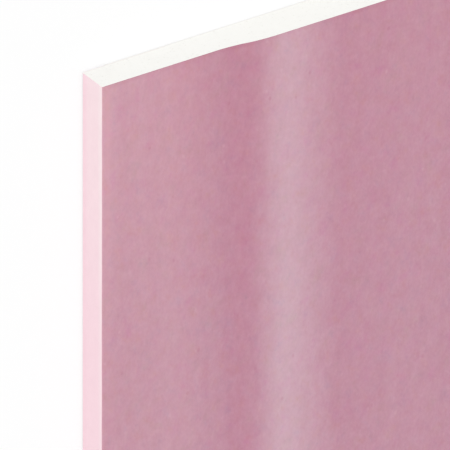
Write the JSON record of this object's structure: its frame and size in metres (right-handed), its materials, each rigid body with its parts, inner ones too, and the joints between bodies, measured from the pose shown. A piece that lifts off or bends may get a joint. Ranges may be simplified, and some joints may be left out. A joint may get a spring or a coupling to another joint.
{
  "type": "drywall sheet",
  "caption": "Full plasterboard sheet with a white gypsum core, pink face paper wrapped round two tapered long edges, ivory back paper and square sawn ends.",
  "frame": {"origin": "middle of the underside, on the surface that the sheet lies on", "axes": "+X across the sheet, +Y along its length, +Z out of the pink face"},
  "size_m": [1.2, 2.4, 0.0125],
  "materials": {
    "gypsum": "matte sawn gypsum with fine pores",
    "face_paper": "matte pink paper with fine fibres and faint streaks along the sheet",
    "back_paper": "matte unbleached ivory paper"
  },
  "bodies": {
    "root": {"gypsum_core": "gypsum", "face_paper": "face_paper", "back_paper": "back_paper"}
  },
  "joints": []
}
